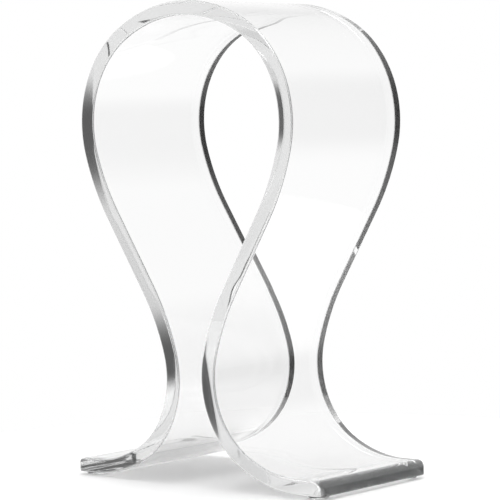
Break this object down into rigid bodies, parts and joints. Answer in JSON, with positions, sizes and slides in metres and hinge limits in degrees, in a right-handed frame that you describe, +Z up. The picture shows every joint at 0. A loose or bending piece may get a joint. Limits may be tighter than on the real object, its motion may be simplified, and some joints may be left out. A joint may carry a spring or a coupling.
{
  "type": "headphone stand",
  "caption": "Clear acrylic omega headphone stand: a bent sheet with a round head loop, a narrow waist and flared feet on clear bumper pads.",
  "frame": {"origin": "on the standing surface, below the middle of the stand", "axes": "+Z up to the crown that carries the headband; +X across the omega, from foot to foot; +Y from front to rear along the sheet's width"},
  "size_m": [0.17, 0.088, 0.2501],
  "materials": {
    "clear_acrylic": "clear polished acrylic",
    "clear_rubber": "clear soft polyurethane"
  },
  "bodies": {
    "root": {"bent_acrylic_sheet": "clear_acrylic", "bumper_pad_front_left": "clear_rubber", "bumper_pad_front_right": "clear_rubber", "bumper_pad_rear_left": "clear_rubber", "bumper_pad_rear_right": "clear_rubber"}
  },
  "joints": []
}
